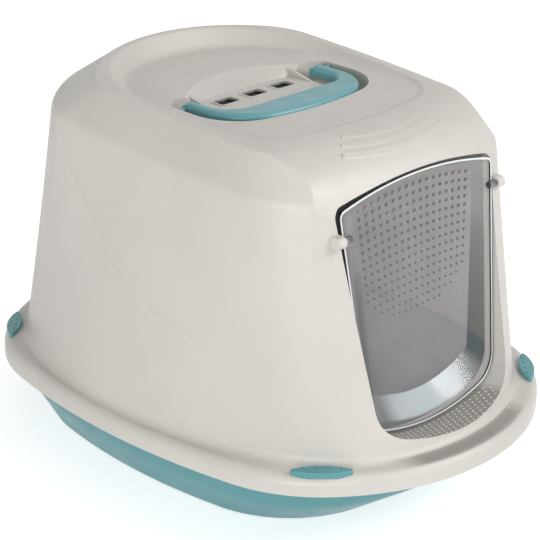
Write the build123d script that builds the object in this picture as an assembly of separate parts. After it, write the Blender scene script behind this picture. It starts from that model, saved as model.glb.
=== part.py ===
"""Covered litter box: base tray, lift-off hood, swing door, carry handle, rim clips, filter.

Millimetres. +Z is up, the doorway faces -Y, the origin is under the middle of the footprint.
"""

import os
from dataclasses import astuple, dataclass
from math import cos, radians, sin, sqrt, tan

from build123d import *

# Walls and running clearances
hood_wall = 2.6
tray_wall = 2.4
door_wall = 1.8
seat_gap = 0.3
pin_play = 0.05
side_play = 0.6

# Levels of the rim, where the hood's flange sits over the tray's rim
lip_bottom = 63.2
flange_top = 80.4
lip_round = 8.5
lip_play = 0.6
cove_round = 8.0
tray_rim_top = flange_top - hood_wall - seat_gap
tray_lip = 7.0
tray_bulge_level = 32.0
tray_foot_round = 9.0
tray_bulge_round = 30.0
shoulder_round = 14.0

# Slopes of the shoulder, of the roof border and of the recess floor, from front to back
shoulder_level = 314.4
shoulder_slope = 0.07
roof_level = 348.0
roof_slope = 0.082
recess_level = 339.2
recess_slope = 0.0235
recess_flare = 40.0
recess_foot_round = 10.0
recess_lip_round = 4.0
crest_round = 4.0

# Nose of the roof, from the recess down to the doorway: distance forward and height
nose_points = [(112.0, 338.5), (140.0, 336.2), (158.0, 329.5), (175.0, 317.5), (184.5, 305.0)]
nose_end = (190.5, 292.0)
nose_plan_r = 600.0

# Soft channel along each side wall, from the rear shoulder down to the front: points on the
# wall (outward, along, up) with the channel's depth there
crease_r = 16.0
crease_path = [
    (140.0, 131.0, 306.0, -0.6),
    (145.8, 120.9, 295.1, 0.6),
    (153.3, 86.7, 267.9, 1.4),
    (160.1, 54.6, 238.2, 1.9),
    (165.9, 10.3, 211.6, 1.8),
    (166.7, -42.4, 188.7, 1.0),
    (162.4, -83.6, 175.2, 0.0),
    (160.5, -95.0, 171.5, -0.6),
]

# Doorway and its clear swing door
door_half_top = 98.0
door_half_bottom = 83.0
door_top_rise = 12.0
door_bottom_drop = 16.0
door_above = 18.0
door_below = 177.0
door_corner_top = 7.0
door_corner_least = 2.0
door_corner_bottom = 30.0
door_lean = 7.5
door_gap = 2.4
door_dish_top = 4.6
door_dish_bottom = 14.5
door_bevel = 15.0
door_bottom_bevel = 20.0
door_bead = 4.5
door_bead_width = 1.6
door_bead_rise = 1.2
door_top_bevel = 4.0
door_pin_root = 9.0
door_pin_length = 13.0
door_pin_hole = 15.0
door_frame_depth = 10.0
door_pin_r = 3.0
hinge_knuckle_r = 5.2
hinge_knuckle_back = 8.0
door_forward = 186.0
door_height = 275.5
hinge_forward = 189.8
hinge_height = 271.0
sill_rise = 9.5

# Handle well and handle
scoop_floor = 330.5
trench_floor = 322.0
trench_rear = 25.0
platform_half = 64.0
platform_front = 20.0
gusset_thick = 3.0
well_ease = 0.3
handle_bottom = 331.5
handle_top = 340.6
handle_bar_rear = -33.0
handle_arm_inner = 74.0
handle_inner_corner = 22.0
handle_pivot_y = 10.0
handle_pivot_z = 334.6
handle_pin_r = 2.5
handle_ear_r = 4.2
handle_pin_root = 2.0
handle_pin_reach = 5.0
handle_round = 5.0
handle_inner_round = 5.5
gusset_front = -8.0

# Vents and filter under the handle well
vent_pitch = 35.0
vent_wide = 22.0
vent_long = 15.0
vent_y = 11.5
vent_corner = 3.0
vent_frame = 2.0
vent_frame_rise = 0.8
vent_skin = 1.1
filter_half = 57.0
filter_front = -14.4
filter_rear = 22.0
filter_thick = 5.0
filter_tray_floor = 1.6
filter_tray_wall = 1.6
filter_tray_side = 3.0
rail_reach = 3.0
rail_thick = 2.0
rail_overlap = 0.6
pull_half = 14.0
pull_reach = 6.0
slot_count = 9
slot_pitch = 11.0
slot_width = 5.0
slot_margin = 6.0

# Rim clips, pushed down through the flange and the tray's rim
clip_length = 57.0
clip_width = 14.0
clip_rise = 4.2
clip_inset = 2.0
clip_skirt = 1.4
clip_wall = 1.6
clip_tip_r = 2.0
clip_round = 1.0
clip_nick_length = 30.0
clip_nick = 1.2
clip_stem_length = 16.0
clip_stem_thick = 5.0
clip_stem_drop = 11.0
clip_stem_gap = 0.35
dimple_r = 1.1
dimple_depth = 0.6
dimple_pitch = 10.7

# Raised ribs and sunk lines on the roof
rib_ends = [(45.6, 140.3), (55.5, 149.8), (62.8, 158.7)]
rib_bulge = 9.0
rib_widths = [3.2, 4.0, 4.8]
rib_rise = 1.2
groove_ends = [(45.0, 93.9), (56.6, 66.3)]
groove_bulge = 9.0
groove_width = 1.6
groove_depth = 0.8


def meet(centre_a, radius_a, centre_b, radius_b, pick):
    """Crossing of two circles, as a complex number, chosen by pick."""
    apart = abs(centre_b - centre_a)
    along = (radius_a**2 - radius_b**2 + apart**2) / (2 * apart)
    across = sqrt(radius_a**2 - along**2)
    unit = (centre_b - centre_a) / apart
    middle = centre_a + unit * along
    return pick([middle + 1j * unit * across, middle - 1j * unit * across], key=lambda c: c.imag)


def towards(start, through, reach):
    """Point at a distance from start on the line to another point."""
    return start + (through - start) / abs(through - start) * reach


@dataclass
class Plan:
    """Plan outline of tangent arcs, the same on both sides of the centre line.

    The front edge, a tight corner, a cheek, the side, the rear corner and the rear edge
    are each one arc. The corner turns into the cheek where the outline faces 45 degrees out.
    """

    half_width: float
    front: float
    rear: float
    side_r: float
    front_r: float
    rear_r: float
    corner_r: float
    cheek_r: float
    rear_corner_r: float

    def toward(self, other, share):
        """Outline that far along the straight change from this one to another."""
        pairs = zip(astuple(self), astuple(other))
        return Plan(*[a + (b - a) * share for a, b in pairs])

    def inset(self, depth):
        return Plan(*[value - depth for value in astuple(self)])

    def joints(self):
        """Centres and end points of the arcs of the right half, from front to rear."""
        middle = (self.rear - self.front) / 2
        side = complex(self.half_width - self.side_r, middle)
        front = complex(0, self.front_r - self.front)
        rear = complex(0, self.rear - self.rear_r)
        diagonal = complex(sqrt(0.5), -sqrt(0.5))
        shift = diagonal * (self.cheek_r - self.corner_r)
        cheek = meet(side, self.side_r - self.cheek_r, front - shift,
                     self.front_r - self.corner_r, min)
        corner = cheek + shift
        back = meet(side, self.side_r - self.rear_corner_r, rear,
                    self.rear_r - self.rear_corner_r, max)
        ends = [
            towards(front, corner, self.front_r),
            corner + diagonal * self.corner_r,
            towards(side, cheek, self.side_r),
            towards(side, back, self.side_r),
            towards(rear, back, self.rear_r),
        ]
        centres = [(corner, self.corner_r), (cheek, self.cheek_r), (side, self.side_r),
                   (back, self.rear_corner_r)]
        return ends, centres

    def edges(self):
        ends, centres = self.joints()
        arcs = []
        for (centre, radius), start, stop in zip(centres, ends, ends[1:]):
            middle = towards(centre, (start + stop) / 2, radius)
            arcs.append((start, middle, stop))
        right = [ThreePointArc(*[(p.real, p.imag) for p in arc]) for arc in arcs]
        left = [ThreePointArc(*[(-p.real, p.imag) for p in arc[::-1]]) for arc in arcs[::-1]]
        first, last = ends[0], ends[-1]
        front_edge = ThreePointArc((-first.real, first.imag), (0, -self.front), (first.real, first.imag))
        rear_edge = ThreePointArc((last.real, last.imag), (0, self.rear), (-last.real, last.imag))
        return [front_edge, *right, rear_edge, *left]

    def face(self, level, slope=0.0):
        plane = Plane((0, 0, level), x_dir=(1, 0, 0), z_dir=(0, -slope, 1))
        return plane * make_face(self.edges())

    def corner_frame(self, front):
        """Point and outward angle of the outline where it faces 45 degrees out."""
        ends, centres = self.joints()
        if front:
            return ends[1], -45.0
        centre, radius = centres[-1]
        return centre + radius * complex(sqrt(0.5), sqrt(0.5)), 45.0


rim = Plan(196.8, 272.5, 272.5, 711, 207, 207, 136, 136, 136)
foot = Plan(182.5, 249.0, 252.0, 420, 192, 192, 112, 120, 112)
shoulder = Plan(153.0, 188.0, 199.0, 1185, 650, 175, 24, 92, 64)
border = Plan(127.0, 178.0, 147.0, 1590, 400, 155, 50, 78, 66)
recess_floor = Plan(113.0, 123.0, 126.0, 1590, 400, 400, 46, 46, 104)
well_mouth = Plan(98.5, 70.5, 51.0, 1500, 300, 152, 49, 49, 9)
scoop = Plan(97.7, 69.7, 31.0, 1500, 300, 380, 48, 48, 7)
grip = Plan(87.0, 69.0, 51.0, 1500, 250, 152, 51, 51, 9)
tray_foot = Plan(152.7, 180.0, 213.0, 600, 276, 276, 111, 111, 111)
tray_bulge = Plan(169.0, 226.0, 240.0, 650, 240, 240, 120, 120, 120)
tray_mouth = rim.inset(14.0)


def block(x0, x1, y0, y1, z0, z1):
    centre = ((x0 + x1) / 2, (y0 + y1) / 2, (z0 + z1) / 2)
    return Pos(*centre) * Box(x1 - x0, y1 - y0, z1 - z0)


def both_sides(shape):
    return shape + mirror(shape, Plane.YZ)


def edges_where(shape, test):
    """Edges whose middle point passes a test."""
    return [edge for edge in shape.edges() if test(edge @ 0.5)]


def edges_on(shape, face, reach=0.4):
    """Edges that run along the outline of a face."""
    outline = face.edges()
    return [edge for edge in shape.edges()
            if min(line.distance_to(edge @ 0.5) for line in outline) < reach]


def edges_touching(shape, *others):
    """Edges that lie on the surface of each of the other shapes."""
    return [edge for edge in shape.edges()
            if all(other.distance_to(edge @ 0.5) < 0.02 for other in others)]


door_plane = Plane((0, -door_forward, door_height), x_dir=(1, 0, 0),
                   z_dir=(0, -cos(radians(door_lean)), sin(radians(door_lean))))


def door_outline(side=0.0, top=0.0, bottom=0.0):
    """Door outline, grown by each amount: x across, y up from the door's reference point."""
    taper = (door_half_top - door_half_bottom) / (door_above + door_below)
    high = door_above + top
    low = -door_below - bottom
    wide = door_half_top + side + taper * top
    narrow = door_half_bottom + side - taper * bottom
    head = ThreePointArc((wide, high), (0, high + door_top_rise), (-wide, high))
    sill = ThreePointArc((-narrow, low), (0, low - door_bottom_drop), (narrow, low))
    outline = make_face([head, Line((-wide, high), (-narrow, low)), sill,
                         Line((narrow, low), (wide, high))])
    upper_r = max(door_corner_top + top, door_corner_least)
    outline = fillet(outline.vertices().filter_by(lambda v: v.Y > 0), upper_r)
    lower = outline.vertices().filter_by(lambda v: v.Y < -door_below / 2)
    return fillet(lower, door_corner_bottom + side)


def doorway(grow, depth_in):
    """Passage with the door's outline. Its sill rises outward, along the door's swing."""
    outline = door_plane * door_outline(grow, grow, grow)
    rise = tan(radians(sill_rise))
    outward = extrude(outline, amount=rim.front - door_forward, dir=(0, -1, rise))
    return outward + extrude(outline, amount=depth_in, dir=(0, 1, 0))


def roof_path(t):
    """Centre profile of the roof, parallel to the outer one at a depth t: level, then the nose."""
    forward = nose_points[0][0]
    start = (-forward, roof_level - roof_slope * forward)
    points = [start, *[(-d, h) for d, h in nose_points[1:]], (-nose_end[0], nose_end[1])]
    last = points[-2]
    nose = Spline(*[(0, y, z) for y, z in points],
                  tangents=[(0, -1, -roof_slope), (0, points[-1][0] - last[0], points[-1][1] - last[1])])
    if t:
        sunk = []
        for station in [0, 0.2, 0.4, 0.6, 0.8, 1]:
            along = nose % station
            sunk.append(nose @ station + Vector(0, -along.Z, along.Y) * t)
        nose = Spline(*sunk, tangents=[nose % 0, nose % 1])
    rear = rim.rear
    level = Line((0, rear, (nose @ 0).Z + roof_slope * (rear - (nose @ 0).Y)), nose @ 0)
    return level, nose


def roof_cutter(t):
    """Everything above the roof surface at a depth t, gently rounded about an upright axis."""
    level, nose = roof_path(t)
    high = roof_level + 2 * (roof_level - shoulder_level)
    far = -2 * nose_end[0]
    corner = Vector(0, far, (nose @ 1).Z)
    outline = [level, nose, Line(nose @ 1, corner), Line(corner, (0, far, high)),
               Line((0, far, high), (0, rim.rear, high)), Line((0, rim.rear, high), level @ 0)]
    axis = Axis((0, nose_plan_r - nose_end[0], 0), (0, 0, 1))
    return revolve(make_face(outline), axis, 360)


def recess_cutter(t):
    """The sunk field of the roof inside its raised border."""
    rise = 30.0
    low = recess_floor.inset(-t).face(recess_level - t, recess_slope)
    spread = rise * tan(radians(recess_flare))
    high = recess_floor.inset(-t - spread).face(recess_level - t + rise, recess_slope)
    cutter = loft([low, high], ruled=True)
    return fillet(edges_on(cutter, low), recess_foot_round + t)


def well_cutter(t):
    """The handle well: a scoop over the vent platform and a deeper trench round it."""
    mouth_rise = recess_level - scoop_floor
    over = 1.2
    low = scoop.inset(-t).face(scoop_floor - t)
    high = scoop.toward(well_mouth, over).inset(-t).face(scoop_floor - t + mouth_rise * over)
    trench_top = recess_level + mouth_rise / 2
    outline = well_mouth.inset(-well_ease - t)
    trench = extrude(outline.face(trench_floor - t), amount=trench_top - trench_floor + t)
    reach = 2 * well_mouth.half_width
    trench &= block(-reach, reach, -reach, trench_rear + t, 0, trench_top)
    trench -= block(-platform_half + t, platform_half - t, -platform_front + t, reach, 0, trench_top)
    return loft([low, high], ruled=True) + trench


def crease_cutter(t):
    """Tube that cuts the soft channel along both side walls, at a depth t."""
    points = [(x + crease_r - depth, y, z) for x, y, z, depth in crease_path]
    path = Spline(*points)
    section = Plane(path @ 0, z_dir=path % 0) * Circle(crease_r + t)
    return both_sides(sweep(section, path=path))


def blade(half_chord, at_y, bulge, width, low, high):
    """Curved upright blade, for a rib or a groove that runs across the roof."""
    radius = (half_chord**2 + bulge**2) / (2 * abs(bulge))
    side = 1 if bulge > 0 else -1
    centre = at_y + bulge - side * radius
    ring = Pos(0, centre) * (Circle(radius + width / 2) - Circle(radius - width / 2))
    tall = 2 * radius
    window = Pos(0, centre + side * tall / 2) * Rectangle(2 * half_chord, tall)
    ends = Pos(half_chord, at_y) * Circle(width / 2) + Pos(-half_chord, at_y) * Circle(width / 2)
    return Pos(0, 0, low) * extrude((ring & window) + ends, amount=high - low)


def rounded_plate(wide, long, corner, low, high, at=(0, 0)):
    return Pos(at[0], at[1], low) * extrude(RectangleRounded(wide, long, corner), amount=high - low)


def vent_positions():
    return [(-vent_pitch, vent_y), (0, vent_y), (vent_pitch, vent_y)]


def clip_places():
    """Name and frame of each rim clip: x outward, y along the rim, z up, at the rim's edge."""
    point, angle = rim.corner_frame(True)
    places = {}
    for front in (True, False):
        for left in (True, False):
            x = -point.real if left else point.real
            y = point.imag if front else -point.imag
            turn = (-135 if left else -45) if front else (135 if left else 45)
            name = f"clip_{'front' if front else 'rear'}_{'left' if left else 'right'}"
            places[name] = Location((x, y, flange_top), (0, 0, turn))
    return places


def clip_slot(grow):
    """Slot for a clip's stem in the clip's own frame, or the stem itself with no growth."""
    middle = -clip_inset - clip_width / 2
    half_thick = clip_stem_thick / 2 + grow
    half_long = clip_stem_length / 2 + grow
    return block(middle - half_thick, middle + half_thick, -half_long, half_long,
                 -clip_stem_drop - grow, clip_rise - clip_wall / 2)


def hood_form(t):
    """Outer form of the hood for t = 0, and the form of its hollow for t = the wall."""
    skirt_bottom = lip_bottom - t
    top = flange_top - t
    skirt = extrude(rim.inset(t).face(skirt_bottom), amount=top - skirt_bottom)
    skirt = fillet(edges_where(skirt, lambda p: p.Z > top - 0.1), lip_round - t)
    foot_face = foot.inset(t).face(top)
    waist = shoulder.inset(t).face(shoulder_level - t / 2, shoulder_slope)
    wall = loft([foot_face, waist], ruled=True)
    above = 1.12
    peak = shoulder.inset(t).toward(border.inset(t), above)
    level = shoulder_level - t / 2 + (roof_level - shoulder_level - t / 2) * above
    slope = shoulder_slope + (roof_slope - shoulder_slope) * above
    cap = loft([waist, peak.face(level, slope)], ruled=True)
    form = skirt + wall + cap
    form = fillet(edges_on(form, foot_face), cove_round + t)
    form = fillet(edges_on(form, waist), shoulder_round - t)
    return form


def add_vents(hood):
    """Raised frame and hole of each vent."""
    frame_wide = vent_wide + 2 * vent_frame
    frame_long = vent_long + 2 * vent_frame
    under = scoop_floor - hood_wall
    for place in vent_positions():
        hood += rounded_plate(frame_wide, frame_long, vent_corner + vent_frame,
                              under, scoop_floor + vent_frame_rise, place)
    for place in vent_positions():
        hood -= rounded_plate(frame_wide, frame_long, vent_corner + vent_frame, under - hood_wall,
                              scoop_floor + vent_frame_rise - vent_skin, place)
        hood -= rounded_plate(vent_wide, vent_long, vent_corner, under - hood_wall,
                              scoop_floor + hood_wall, place)
    return hood


def gusset():
    """Triangular web at the end of the vent platform, up to the well's rear slope."""
    base = scoop_floor - hood_wall / 2
    top_y = well_mouth.rear - 13.0
    outline = [(0, gusset_front, base), (0, top_y, base), (0, top_y, recess_level + 0.6)]
    web = extrude(make_face(Polyline(*outline, close=True)), amount=gusset_thick, dir=(1, 0, 0))
    return Pos(platform_half - gusset_thick) * web


def filter_rail():
    """Ledge along the inside of the trench wall that the filter tray slides on."""
    inner = platform_half - hood_wall
    top = trench_floor - hood_wall + rail_overlap
    return block(inner - rail_reach, inner + hood_wall, -platform_front + hood_wall, trench_rear,
                 top - rail_thick, top)


def pin_holes(radius, y, z, start, stop):
    """Running holes across both sides for a pair of pins."""
    bore = extrude(Plane.YZ * Circle(radius + pin_play), amount=stop - start)
    return both_sides(Pos(start, y, z) * bore)


def hinge_knuckle():
    """Half-round boss on the doorway's jamb that a door pin turns in."""
    start = door_half_top + side_play
    wide = door_half_top - door_pin_root + door_pin_hole + hood_wall - start
    boss = extrude(Plane.YZ * Circle(hinge_knuckle_r), amount=wide)
    boss += block(0, wide, 0, hinge_knuckle_back, -hinge_knuckle_r, hinge_knuckle_r)
    return Pos(start, -hinge_forward, hinge_height) * boss


def make_hood():
    roof = roof_cutter(0)
    recess = recess_cutter(0)
    form = hood_form(0) - roof
    form = fillet(edges_touching(form, roof), crest_round) - recess
    form = fillet(edges_touching(form, roof, recess), recess_lip_round)
    for (half_chord, forward), width in zip(rib_ends, rib_widths):
        rib = blade(half_chord, -forward, -rib_bulge, width, nose_end[1], roof_level)
        form += (rib & roof_cutter(hood_wall / 2)) - roof_cutter(-rib_rise)
    form -= well_cutter(0)
    hollow = hood_form(hood_wall) - roof_cutter(hood_wall) - recess_cutter(hood_wall)
    hollow -= well_cutter(hood_wall)
    hollow -= doorway(door_gap + hood_wall, door_frame_depth)
    form -= crease_cutter(0)
    hollow -= crease_cutter(hood_wall)
    hood = form - hollow
    hood -= doorway(door_gap, door_frame_depth + 3 * hood_wall)
    for half_chord, rear in groove_ends:
        groove = blade(half_chord, rear, groove_bulge, groove_width, 0, 2 * roof_level)
        hood -= groove & recess_cutter(groove_depth)
    hood = add_vents(hood)
    hood += both_sides(gusset()) + both_sides(filter_rail()) + both_sides(hinge_knuckle())
    start = well_mouth.half_width - hood_wall
    hood -= pin_holes(handle_pin_r, handle_pivot_y, handle_pivot_z, start, start + 3 * hood_wall)
    start = door_half_top - door_pin_root
    hood -= pin_holes(door_pin_r, -hinge_forward, hinge_height, start, start + door_pin_hole)
    for place in clip_places().values():
        hood -= place * clip_slot(clip_stem_gap)
    return hood


def tray_form(t):
    """Outer form of the tray for t = 0, and the form of its basin for t = the wall."""
    bottom = tray_foot.inset(t).face(t)
    bulge = tray_bulge.inset(t).face(tray_bulge_level)
    top = tray_mouth.inset(t).face(tray_rim_top + t)
    form = loft([bottom, bulge], ruled=True) + loft([bulge, top], ruled=True)
    form = fillet(edges_on(form, bottom), tray_foot_round - t)
    return fillet(edges_on(form, bulge), tray_bulge_round - t)


def make_tray():
    """Basin with an outward rim whose edge turns down inside the hood's flange."""
    edge = rim.inset(hood_wall + lip_play)
    low = tray_rim_top - tray_lip
    round_r = lip_round - hood_wall - lip_play
    outer = extrude(edge.face(low), amount=tray_lip)
    outer = fillet(edges_where(outer, lambda p: p.Z > tray_rim_top - 0.1), round_r)
    under = extrude(edge.inset(tray_wall).face(low), amount=tray_lip - tray_wall)
    under = fillet(edges_where(under, lambda p: p.Z > low + 0.1), round_r - tray_wall)
    tray = (outer - under) + tray_form(0) - tray_form(tray_wall)
    for place in clip_places().values():
        tray -= place * clip_slot(clip_stem_gap)
    return tray


def door_panel(t):
    """Outline of the sunk panel, which stands more upright than the door's edge."""
    side = door_bead + door_bevel + t
    top = door_bead + door_top_bevel + t
    bottom = door_bead + door_bottom_bevel + t
    tall = door_above + door_below
    tilt = (door_dish_bottom - door_dish_top) / tall
    middle = (door_above - door_below) / 2
    depth = (door_dish_top + door_dish_bottom) / 2 + tilt * middle
    plane = Plane((0, 0, t - depth), x_dir=(1, 0, 0), z_dir=(0, -tilt, 1))
    return plane * door_outline(-side, -top, -bottom)


def make_door():
    """Clear dished door with a bead round its edge and its two hinge pins."""
    plate = extrude(door_outline(), amount=-door_wall)
    inner = door_bead + door_wall
    dish = loft([door_outline(-door_bead, -door_bead, -door_bead), door_panel(0)], ruled=True)
    space = loft([door_outline(-inner, -inner, -inner), door_panel(door_wall)], ruled=True)
    bead = extrude(door_outline(), amount=door_bead_rise)
    bead -= extrude(door_outline(*[-door_bead_width] * 3), amount=door_bead_rise)
    door = plate + dish + bead - space
    start = door_half_top - door_pin_root
    pin = extrude(Plane.YZ * Circle(door_pin_r), amount=door_pin_length)
    pin = Pos(start, -hinge_forward, hinge_height) * pin
    return door_plane * door + both_sides(pin)


def make_handle():
    """Carry handle: a broad bar across the front of the well and an arm back to each pivot."""
    bar = extrude(grip.face(handle_bottom), amount=handle_top - handle_bottom)
    bar = fillet(edges_where(bar, lambda p: p.Z > handle_top - 0.1), handle_round)
    reach = 2 * grip.half_width
    bar &= block(-reach, reach, -reach, handle_pivot_y, 0, 2 * roof_level)
    inner_long = 4 * handle_inner_corner
    gap = rounded_plate(2 * handle_arm_inner, inner_long, handle_inner_corner, 0, 2 * roof_level,
                        (0, handle_bar_rear + inner_long / 2))
    gap += block(-handle_arm_inner, handle_arm_inner, handle_bar_rear + inner_long / 2, reach, 0, 2 * roof_level)
    bar -= gap
    inner_edges = [edge for edge in edges_where(bar, lambda p: p.Z > handle_top - 0.1)
                   if abs((edge @ 0.5).X) < handle_arm_inner + 1]
    bar = fillet(inner_edges, handle_inner_round)
    ear_outer = grip.half_width
    ear_span = ear_outer - handle_arm_inner
    disc = Plane.YZ * Circle(handle_ear_r)
    ear = Pos(handle_arm_inner, handle_pivot_y, handle_pivot_z) * extrude(disc, amount=ear_span - 1.0)
    pin = Plane.YZ * Circle(handle_pin_r)
    pin_long = well_mouth.half_width - ear_outer + handle_pin_reach
    pin = Pos(ear_outer - handle_pin_root, handle_pivot_y, handle_pivot_z) * extrude(pin, amount=pin_long)
    return bar + both_sides(ear + pin)


def make_clip():
    """Lens-shaped clip with a straight push-in stem, in its own frame."""
    outer = -clip_inset
    inner = outer - clip_width
    half = clip_length / 2
    middle = inner + clip_width / 2
    lens = make_face([ThreePointArc((middle, -half), (outer, 0), (middle, half)),
                      ThreePointArc((middle, half), (inner, 0), (middle, -half))])
    lens = fillet(lens.vertices(), clip_tip_r)
    cap = Pos(0, 0, -clip_skirt) * extrude(lens, amount=clip_rise + clip_skirt)
    cap = fillet(edges_where(cap, lambda p: p.Z > clip_rise - 0.1), clip_round)
    hollow = Pos(0, 0, -2 * clip_skirt) * offset(lens, -clip_wall)
    cap -= extrude(hollow, amount=2 * clip_skirt + clip_rise - clip_wall)
    nick = block(outer - clip_nick, outer + clip_nick, -clip_nick_length / 2, clip_nick_length / 2,
                 -2 * clip_skirt, -clip_skirt + clip_nick)
    cap -= nick
    for index in range(4):
        along = (index - 1.5) * dimple_pitch
        cap -= Pos(inner + clip_width / 3, along, clip_rise) * Cylinder(dimple_r, 2 * dimple_depth)
    return cap


def make_clips():
    cap = make_clip()
    flange = flange_block()
    return {name: (place * cap) - flange + place * clip_slot(0) for name, place in clip_places().items()}


def flange_block():
    """The hood's flange with the clips' seating gap round it."""
    low = rim.inset(-seat_gap).face(lip_bottom)
    skirt = extrude(low, amount=flange_top + seat_gap - lip_bottom)
    return fillet(edges_where(skirt, lambda p: p.Z > flange_top), lip_round + seat_gap)


def make_filter():
    low = trench_floor - hood_wall + rail_overlap + seat_gap + filter_tray_floor + seat_gap
    middle = (filter_front + filter_rear) / 2
    return rounded_plate(2 * filter_half, filter_rear - filter_front, 3, low, low + filter_thick, (0, middle))


def make_filter_tray():
    """Slotted tray that holds the filter under the vents and slides out to the rear."""
    inner = platform_half - hood_wall - side_play
    low = trench_floor - hood_wall + rail_overlap + seat_gap
    front = -platform_front + hood_wall + side_play
    rear = filter_rear + side_play + filter_tray_wall
    floor = block(-inner, inner, front, rear, low, low + filter_tray_floor)
    high = low + filter_tray_floor + filter_tray_side
    wall_inner = filter_half + side_play
    side = block(wall_inner, wall_inner + filter_tray_wall, front, rear, low, high)
    end = block(-wall_inner, wall_inner, rear - filter_tray_wall, rear, low, high)
    stop = block(-wall_inner, wall_inner, front, filter_front - side_play, low, high)
    pull = block(-pull_half, pull_half, rear, rear + pull_reach, low, low + filter_tray_floor)
    tray = floor + both_sides(side) + end + stop + pull
    slot_long = filter_rear - filter_front - 2 * slot_margin
    middle = (filter_front + filter_rear) / 2
    for index in range(slot_count):
        x = (index - (slot_count - 1) / 2) * slot_pitch
        slot = Pos(x, middle, low) * SlotOverall(slot_long, slot_width, rotation=90)
        tray -= extrude(slot, amount=filter_tray_floor)
    return tray


def write(name, shape):
    solids = shape.solids()
    export_step(shape if len(solids) > 1 else solids[0], f"parts/{name}.step")


def main():
    os.makedirs("parts", exist_ok=True)
    parts = {
        "base_tray": make_tray(),
        "hood": make_hood(),
        "door_flap": make_door(),
        "carry_handle": make_handle(),
        "carbon_filter": make_filter(),
        "filter_tray": make_filter_tray(),
        **make_clips(),
    }
    for name, shape in parts.items():
        write(name, shape)


if __name__ == "__main__":
    main()
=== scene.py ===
"""Looks for the covered litter box: camera, plastics, raised dots, floor and lamps.

+Z is up and the doorway faces -Y. Sizes of the object are in millimetres and are multiplied by MM
where they are used. The studio's sizes are in metres.
"""

from math import cos, radians, sin

import bmesh
import bpy
from mathutils import Matrix, Vector
from mathutils.bvhtree import BVHTree


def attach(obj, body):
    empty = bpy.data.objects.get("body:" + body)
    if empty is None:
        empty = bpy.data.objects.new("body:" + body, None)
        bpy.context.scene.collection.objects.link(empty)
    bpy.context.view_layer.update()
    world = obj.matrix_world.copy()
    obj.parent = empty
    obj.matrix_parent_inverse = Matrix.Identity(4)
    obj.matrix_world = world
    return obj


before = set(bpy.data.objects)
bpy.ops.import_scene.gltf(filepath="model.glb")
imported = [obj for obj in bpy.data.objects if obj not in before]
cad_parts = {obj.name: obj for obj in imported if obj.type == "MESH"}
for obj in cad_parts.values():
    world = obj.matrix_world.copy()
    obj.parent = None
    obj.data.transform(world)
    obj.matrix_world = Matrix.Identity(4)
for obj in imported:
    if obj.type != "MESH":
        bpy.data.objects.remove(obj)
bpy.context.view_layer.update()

MM = 0.001

# Camera: focal length in pixels, place, and its two angles in radians
image_size = 540
sensor_width = 36.0
focal_pixels = 1760.25
camera_place = Vector((-1072.55, -1077.27, 804.22))
camera_down = 0.4007
camera_turn = 0.7836
clip_near = 0.05
clip_far = 50.0

# Door plane: a point on the door's face, its lean, and the directions out of it and up it
door_point = Vector((0, -186.0, 275.5))
door_lean = radians(7.5)
door_out = Vector((0, -cos(door_lean), sin(door_lean)))
door_up = Vector((0, sin(door_lean), cos(door_lean)))

# Door's sunk panel: its depth behind the face at its top and its bottom
panel_top = 18.0
panel_tall = 195.0
panel_depth_top = 4.6
panel_depth_bottom = 14.5

# Raised dots on the panel, in columns that draw together towards the bottom
dot_columns = 8
dot_rows = 15
rows_missing = {8: 3, 7: 2, 6: 1, 5: 1}
dot_half_width = 70.0
dot_narrowing = 0.0013
dot_top = 18.0
dot_top_drop = 6.1
dot_bottom = -91.5
dot_radius_top = 2.1
dot_radius_bottom = 1.05
dot_height = 0.8

# Painted shade on a dot: the side painted dark, the level where it is plain, and how much darker a
# metre lower is
dot_painted_shade_side = (-0.75, 0, 0.66)
dot_shade_middle = 215.0
dot_darker_lower = 7.0

# Door's bead, which gets a painted highlight, and its pins: distances in front of the door's face
bead_start = 0.4
bead_full = 0.9
bead_end = 1.4
pin_start = 1.8

# Painted whitish reflection in the middle of the door's lower bevel, as distances from the middle of
# the door
bevel_reflection_full = 40.0
bevel_reflection_end = 62.0

# Raised dots on the sill in front of the door
sill_pitch = 6.2
sill_row_step = 0.87 * sill_pitch
sill_half_width = 66.0
sill_first = 216.5
sill_rows = 6
sill_above = 130.0
sill_low = 78.0
sill_high = 104.0
sill_level_least = 0.9
sill_dot_radius = 1.15
sill_dot_height = 0.6

# Painted shade, a greyer part of the sill under the door: where it starts, and how softly it ends at
# each side
sill_shade_start = 204.0
sill_shade_full = 212.0
sill_shade_inner = 60.0
sill_shade_outer = 82.0
sill_shade_above = 6.0
sill_shade_below = 3.0
sill_shade_share = 0.85

# Studio, in metres and watts
floor_half = 12.0
floor_shade = 0.85
floor_glow = 0.6
world_strength = 0.43
lamp_aim = Vector((0, 0, 0.18))
lamp_size = 1.4
key_place = Vector((1.1, -1.9, 1.8))
key_power = 36
fill_place = Vector((-2.3, -1.3, 0.5))
fill_power = 38

across_x = (1, 0, 0)
towards_front = (0, -1, 0)
upward = (0, 0, 1)


def linear(red, green, blue):
    """Linear colour from display values of 0 to 255."""
    def one(value):
        share = value / 255
        return share / 12.92 if share <= 0.04045 else ((share + 0.055) / 1.055) ** 2.4
    return one(red), one(green), one(blue), 1.0


def new_material(name):
    material = bpy.data.materials.new(name)
    material.use_nodes = True
    tree = material.node_tree
    return material, tree, tree.nodes["Principled BSDF"]


def along(tree, output, direction):
    """Share of the object's own place or normal that lies along a direction."""
    place = tree.nodes.new("ShaderNodeTexCoord")
    node = tree.nodes.new("ShaderNodeVectorMath")
    node.operation = "DOT_PRODUCT"
    node.inputs[1].default_value = direction
    tree.links.new(place.outputs[output], node.inputs[0])
    return node.outputs["Value"]


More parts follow.
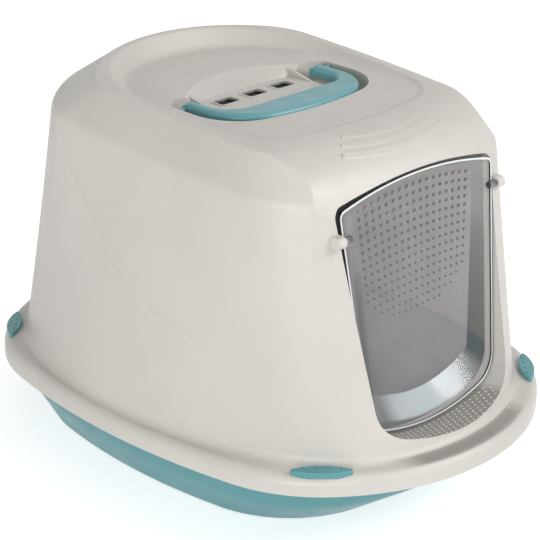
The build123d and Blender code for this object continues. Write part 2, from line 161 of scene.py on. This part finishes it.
def combine(tree, operation, *values):
    """Math node on values that are plain numbers or outputs of other nodes."""
    node = tree.nodes.new("ShaderNodeMath")
    node.operation = operation
    for socket, value in zip(node.inputs, values):
        if isinstance(value, float):
            socket.default_value = value
        else:
            tree.links.new(value, socket)
    return node.outputs["Value"]


def mapped(tree, value, start, end, low=0.0, high=1.0):
    """Low up to start, high from end on, and even steps between."""
    node = tree.nodes.new("ShaderNodeMapRange")
    node.inputs["From Min"].default_value = start
    node.inputs["From Max"].default_value = end
    node.inputs["To Min"].default_value = low
    node.inputs["To Max"].default_value = high
    tree.links.new(value, node.inputs["Value"])
    return node.outputs["Result"]


def noise(tree, scale, detail=3.0):
    """Noise in the part's own coordinates, so it stays on the part when the part moves."""
    place = tree.nodes.new("ShaderNodeTexCoord")
    node = tree.nodes.new("ShaderNodeTexNoise")
    node.inputs["Scale"].default_value = scale
    node.inputs["Detail"].default_value = detail
    tree.links.new(place.outputs["Object"], node.inputs["Vector"])
    return node.outputs["Fac"]


def spread(tree, value, low, high):
    """Maps the range that noise mostly fills to low and high."""
    return mapped(tree, value, 0.3, 0.7, low, high)


def blend(tree, share, under, over):
    """Colour under where share is 0 and colour over where it is 1."""
    node = tree.nodes.new("ShaderNodeMix")
    node.data_type = "RGBA"
    tree.links.new(share, node.inputs["Factor"])
    for socket, colour in ((node.inputs["A"], under), (node.inputs["B"], over)):
        if isinstance(colour, tuple):
            socket.default_value = colour
        else:
            tree.links.new(colour, socket)
    return node.outputs["Result"]


def bump(tree, height, distance, strength, after=None):
    node = tree.nodes.new("ShaderNodeBump")
    node.inputs["Distance"].default_value = distance
    node.inputs["Strength"].default_value = strength
    tree.links.new(height, node.inputs["Height"])
    if after is not None:
        tree.links.new(after, node.inputs["Normal"])
    return node.outputs["Normal"]


def moulded_plastic(name, colour, deeper, roughness, grain):
    """Injection-moulded plastic: slow mottle, fine spark-eroded grain, worn paler edges."""
    material, tree, shader = new_material(name)
    mottle = blend(tree, spread(tree, noise(tree, 9.0), 0, 1), colour, deeper)
    edge = tree.nodes.new("ShaderNodeNewGeometry")
    edge_wear_and_sill_shade = mapped(tree, edge.outputs["Pointiness"], 0.52, 0.62, 0.0, 0.25)
    brighter = tuple(min(1.0, channel * 1.18) for channel in colour[:3]) + (1.0,)
    tree.links.new(blend(tree, edge_wear_and_sill_shade, mottle, brighter), shader.inputs["Base Color"])
    gloss = spread(tree, noise(tree, 60.0), roughness - 0.05, roughness + 0.07)
    tree.links.new(gloss, shader.inputs["Roughness"])
    waves = bump(tree, noise(tree, 14.0, 2.0), 0.0015, 0.10)
    fine = bump(tree, noise(tree, 1400.0, 2.0), 0.00012, grain, waves)
    tree.links.new(fine, shader.inputs["Normal"])
    shader.inputs["IOR"].default_value = 1.49
    return material


def shade_sill(material):
    """Painted shade: greyer plastic on the sill under the door, where shade falls."""
    tree = material.node_tree
    shader = tree.nodes["Principled BSDF"]
    height = along(tree, "Object", upward)
    forward = along(tree, "Object", towards_front)
    sideways = combine(tree, "ABSOLUTE", along(tree, "Object", across_x))
    masks = [
        mapped(tree, height, sill_high * MM, (sill_high + sill_shade_above) * MM, 1.0, 0.0),
        mapped(tree, height, (sill_low - sill_shade_below) * MM, sill_low * MM),
        mapped(tree, forward, sill_shade_start * MM, sill_shade_full * MM),
        mapped(tree, sideways, sill_shade_inner * MM, sill_shade_outer * MM, 1.0, 0.0),
    ]
    share = mapped(tree, along(tree, "Normal", upward), 0.86, 0.96)
    for mask in masks:
        share = combine(tree, "MULTIPLY", share, mask)
    share = combine(tree, "MULTIPLY", share, sill_shade_share)
    under = shader.inputs["Base Color"].links[0].from_socket
    # Painted shade: the sill's colour is blended towards a darker grey.
    edge_wear_and_sill_shade = blend(tree, share, under, linear(146, 142, 137))
    tree.links.new(edge_wear_and_sill_shade, shader.inputs["Base Color"])


def clear_sheet(name, body):
    """Clear moulded door, faint on its panel. Painted light: a whitish reflection on its lower
    bevel, grey shade on its sideways faces, a highlight on its bead, and dark refraction and gap
    shadow along its rim edge.
    """
    material, tree, shader = new_material(name)
    shader.inputs["Roughness"].default_value = 0.06
    shader.inputs["IOR"].default_value = 1.5
    place_out = along(tree, "Object", door_out)
    forward = combine(tree, "SUBTRACT", place_out, door_point.dot(door_out) * MM)
    bead_highlight = mapped(tree, forward, bead_start * MM, bead_full * MM)
    before_pins = mapped(tree, forward, bead_end * MM, pin_start * MM, 1.0, 0.0)
    bead_highlight = combine(tree, "MULTIPLY", bead_highlight, before_pins)
    faces_out = combine(tree, "ABSOLUTE", along(tree, "Normal", door_out))
    edge = mapped(tree, faces_out, 0.25, 0.5, 1.0, 0.0)
    faces_sideways = combine(tree, "ABSOLUTE", along(tree, "Normal", across_x))
    side = mapped(tree, faces_sideways, 0.3, 0.5)
    bottom = mapped(tree, along(tree, "Normal", upward), 0.42, 0.62)
    sideways = combine(tree, "ABSOLUTE", along(tree, "Object", across_x))
    middle = mapped(tree, sideways, bevel_reflection_full * MM, bevel_reflection_end * MM, 1.0, 0.35)
    bottom = combine(tree, "MULTIPLY", bottom, middle)
    turn = tree.nodes.new("ShaderNodeLayerWeight")
    turn.inputs["Blend"].default_value = 0.12
    cover = mapped(tree, turn.outputs["Facing"], 0.0, 1.0, 0.10, 0.7)
    cover = combine(tree, "ADD", cover, spread(tree, noise(tree, 35.0), 0.0, 0.03))
    for mask, share in ((bottom, 0.5), (side, 0.14), (bead_highlight, 0.85), (edge, 0.9)):
        cover = combine(tree, "MAXIMUM", cover, combine(tree, "MULTIPLY", mask, share))
    # Painted light: whitish reflection on the lower bevel, grey shade on sideways faces, a highlight
    # on the bead, dark refraction and gap shadow along the rim edge.
    colour = blend(tree, bottom, body, linear(214, 222, 226))
    colour = blend(tree, side, colour, linear(150, 150, 150))
    colour = blend(tree, bead_highlight, colour, linear(236, 240, 242))
    colour = blend(tree, edge, colour, linear(26, 27, 29))
    tree.links.new(colour, shader.inputs["Base Color"])
    tree.links.new(cover, shader.inputs["Alpha"])
    tree.links.new(bump(tree, noise(tree, 22.0, 1.0), 0.002, 0.12), shader.inputs["Normal"])
    return material


def clear_dot(name):
    """Raised clear dot: painted dark shade on its upper left, where it bends the light away, and a
    painted highlight elsewhere.
    """
    material, tree, shader = new_material(name)
    shader.inputs["Roughness"].default_value = 0.3
    shader.inputs["IOR"].default_value = 1.35
    height = along(tree, "Object", upward)
    below = combine(tree, "SUBTRACT", dot_shade_middle * MM, height)
    darker = combine(tree, "MULTIPLY", below, dot_darker_lower)
    lean = combine(tree, "ADD", along(tree, "Normal", dot_painted_shade_side), darker)
    dark = mapped(tree, lean, -0.75, -0.40)
    # Painted shade and highlight: near black on the shaded side and lower down, near white
    # elsewhere.
    colour = blend(tree, dark, linear(232, 230, 231), linear(5, 5, 6))
    tree.links.new(colour, shader.inputs["Base Color"])
    tree.links.new(mapped(tree, dark, 0.0, 1.0, 0.6, 0.97), shader.inputs["Alpha"])
    tree.links.new(bump(tree, noise(tree, 400.0), 0.0001, 0.1), shader.inputs["Normal"])
    return material


def foam(name):
    """Open-cell filter foam: black cells with greyer struts."""
    material, tree, shader = new_material(name)
    place = tree.nodes.new("ShaderNodeTexCoord")
    cells = tree.nodes.new("ShaderNodeTexVoronoi")
    cells.feature = "DISTANCE_TO_EDGE"
    cells.inputs["Scale"].default_value = 520.0
    tree.links.new(place.outputs["Object"], cells.inputs["Vector"])
    colour = blend(tree, cells.outputs["Distance"], linear(44, 45, 46), linear(6, 6, 7))
    tree.links.new(colour, shader.inputs["Base Color"])
    tree.links.new(bump(tree, cells.outputs["Distance"], 0.0008, 0.8), shader.inputs["Normal"])
    shader.inputs["Roughness"].default_value = 0.95
    return material


def dress_nodes():
    """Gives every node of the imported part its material."""
    teal = moulded_plastic("teal_plastic", linear(88, 150, 155), linear(80, 142, 148), 0.34, 0.16)
    skins = {
        "base_tray": teal,
        "hood": hood_skin,
        "door_flap": clear_sheet("door_clear", linear(226, 221, 223)),
        "carry_handle": moulded_plastic("grip_plastic", linear(104, 162, 168),
                                        linear(96, 154, 161), 0.34, 0.16),
        "filter_tray": moulded_plastic("filter_tray_plastic", linear(120, 119, 116),
                                       linear(108, 107, 105), 0.5, 0.3),
        "carbon_filter": foam("filter_foam"),
    }
    for end in ("front", "rear"):
        for side in ("left", "right"):
            skins[f"clip_{end}_{side}"] = teal
    for node, skin in skins.items():
        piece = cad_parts[node]
        piece.data.materials.clear()
        piece.data.materials.append(skin)


def add_dome(mesh, centre, out, radius, height):
    """Ellipsoid sunk to its middle in a surface, so that a dome stands along out."""
    turn = Vector(upward).rotation_difference(out).to_matrix().to_4x4()
    size = Matrix.Diagonal((radius, radius, height, 1))
    place = Matrix.Translation(centre) @ turn @ size
    bmesh.ops.create_icosphere(mesh, subdivisions=2, radius=1.0, matrix=place)


def finish_piece(name, mesh, skin, body):
    data = bpy.data.meshes.new(name)
    mesh.to_mesh(data)
    mesh.free()
    for face in data.polygons:
        face.use_smooth = True
    data.materials.append(skin)
    piece = bpy.data.objects.new(name, data)
    bpy.context.collection.objects.link(piece)
    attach(piece, body)


def make_door_dots():
    """Raised dots on the door's panel, smaller towards the bottom. Outer columns are shorter."""
    skin = clear_dot("dot_clear")
    mesh = bmesh.new()
    for column in range(-dot_columns, dot_columns + 1):
        share = column / dot_columns
        top = dot_top - dot_top_drop * share**2
        for row in range(dot_rows - rows_missing.get(abs(column), 0)):
            down = row / (dot_rows - 1)
            high = top + (dot_bottom - top) * down
            across = dot_half_width * share * (1 - dot_narrowing * (dot_top - high))
            panel_share = (panel_top - high) / panel_tall
            deep = panel_depth_top + (panel_depth_bottom - panel_depth_top) * panel_share
            radius = dot_radius_top + (dot_radius_bottom - dot_radius_top) * down
            centre = door_point + Vector((across, 0, 0)) + door_up * high - door_out * deep
            add_dome(mesh, centre * MM, door_out, radius * MM, radius * dot_height * MM)
    finish_piece("door_dots", mesh, skin, "door")


def make_sill_dots():
    """Raised dots on the sill, in staggered rows, each one set on the hood's own surface."""
    skin = moulded_plastic("sill_dot_plastic", linear(206, 202, 197), linear(196, 192, 187),
                           0.36, 0.1)
    hood = bmesh.new()
    hood.from_mesh(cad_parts["hood"].data)
    surface = BVHTree.FromBMesh(hood)
    hood.free()
    downward = Vector((0, 0, -1))
    mesh = bmesh.new()
    steps = int(sill_half_width / sill_pitch)
    for row in range(sill_rows):
        forward = sill_first + row * sill_row_step
        for step in range(-steps, steps + 1):
            across = (step + 0.5 * (row % 2)) * sill_pitch
            start = Vector((across, -forward, sill_above)) * MM
            place, normal, _, _ = surface.ray_cast(start, downward)
            if place is None or normal.z < sill_level_least:
                continue
            if sill_low * MM < place.z < sill_high * MM:
                radius = sill_dot_radius * MM
                add_dome(mesh, place, normal, radius, radius * sill_dot_height)
    finish_piece("sill_dots", mesh, skin, "hood")


def aim(thing, place, ahead):
    """Puts a camera or a lamp at a place, looking ahead."""
    thing.location = place
    thing.rotation_mode = "QUATERNION"
    thing.rotation_quaternion = ahead.to_track_quat("-Z", "Y")
    bpy.context.collection.objects.link(thing)


def make_camera():
    data = bpy.data.cameras.new("camera")
    data.sensor_width = sensor_width
    data.lens = focal_pixels / image_size * sensor_width
    data.clip_start = clip_near
    data.clip_end = clip_far
    camera = bpy.data.objects.new("camera", data)
    level = cos(camera_down)
    ahead = Vector((cos(camera_turn) * level, sin(camera_turn) * level, -sin(camera_down)))
    aim(camera, camera_place * MM, ahead)
    bpy.context.scene.camera = camera


def looked_at(tree):
    """1 where the camera, a gloss or a clear part looks straight at a surface, else 0."""
    path = tree.nodes.new("ShaderNodeLightPath")
    seen = combine(tree, "MAXIMUM", path.outputs["Is Camera Ray"], path.outputs["Is Glossy Ray"])
    return combine(tree, "MAXIMUM", seen, path.outputs["Is Transmission Ray"])


def shows_white(tree, shader, strength):
    """Adds a white glow to the shader where it is looked at."""
    glow = tree.nodes.new("ShaderNodeEmission")
    glow.inputs["Color"].default_value = (1, 1, 1, 1)
    glow.inputs["Strength"].default_value = strength
    seen_glow = tree.nodes.new("ShaderNodeMixShader")
    tree.links.new(looked_at(tree), seen_glow.inputs["Fac"])
    tree.links.new(glow.outputs["Emission"], seen_glow.inputs[2])
    total = tree.nodes.new("ShaderNodeAddShader")
    tree.links.new(shader, total.inputs[0])
    tree.links.new(seen_glow.outputs["Shader"], total.inputs[1])
    return total.outputs["Shader"]


def make_floor():
    """White floor that keeps the object's soft shadow."""
    mesh = bmesh.new()
    bmesh.ops.create_grid(mesh, x_segments=8, y_segments=8, size=floor_half)
    data = bpy.data.meshes.new("floor")
    mesh.to_mesh(data)
    mesh.free()
    floor = bpy.data.objects.new("floor", data)
    bpy.context.collection.objects.link(floor)
    material, tree, shader = new_material("floor_paper")
    shader.inputs["Base Color"].default_value = (floor_shade, floor_shade, floor_shade, 1)
    shader.inputs["Roughness"].default_value = 0.9
    tree.links.new(bump(tree, noise(tree, 300.0), 0.0002, 0.1), shader.inputs["Normal"])
    surface = shows_white(tree, shader.outputs["BSDF"], floor_glow)
    tree.links.new(surface, tree.nodes["Material Output"].inputs["Surface"])
    data.materials.append(material)


def make_world():
    """Even light from all round, and a white background where it is looked at."""
    world = bpy.data.worlds.new("studio")
    world.use_nodes = True
    tree = world.node_tree
    backdrop = tree.nodes["Background"]
    backdrop.inputs["Color"].default_value = (1.0, 1.0, 1.0, 1)
    strength = mapped(tree, looked_at(tree), 0.0, 1.0, world_strength, 1.0)
    tree.links.new(strength, backdrop.inputs["Strength"])
    bpy.context.scene.world = world


def make_lamp(name, place, power):
    data = bpy.data.lights.new(name, "AREA")
    data.shape = "DISK"
    data.size = lamp_size
    data.energy = power
    aim(bpy.data.objects.new(name, data), place, lamp_aim - place)


hood_skin = moulded_plastic("hood_plastic", linear(205, 201, 195), linear(199, 195, 189), 0.42, 0.22)
shade_sill(hood_skin)
dress_nodes()
make_door_dots()
make_sill_dots()
make_camera()
make_floor()
make_world()
make_lamp("key", key_place, key_power)
make_lamp("fill", fill_place, fill_power)

scene = bpy.context.scene
scene.view_settings.view_transform = "Standard"
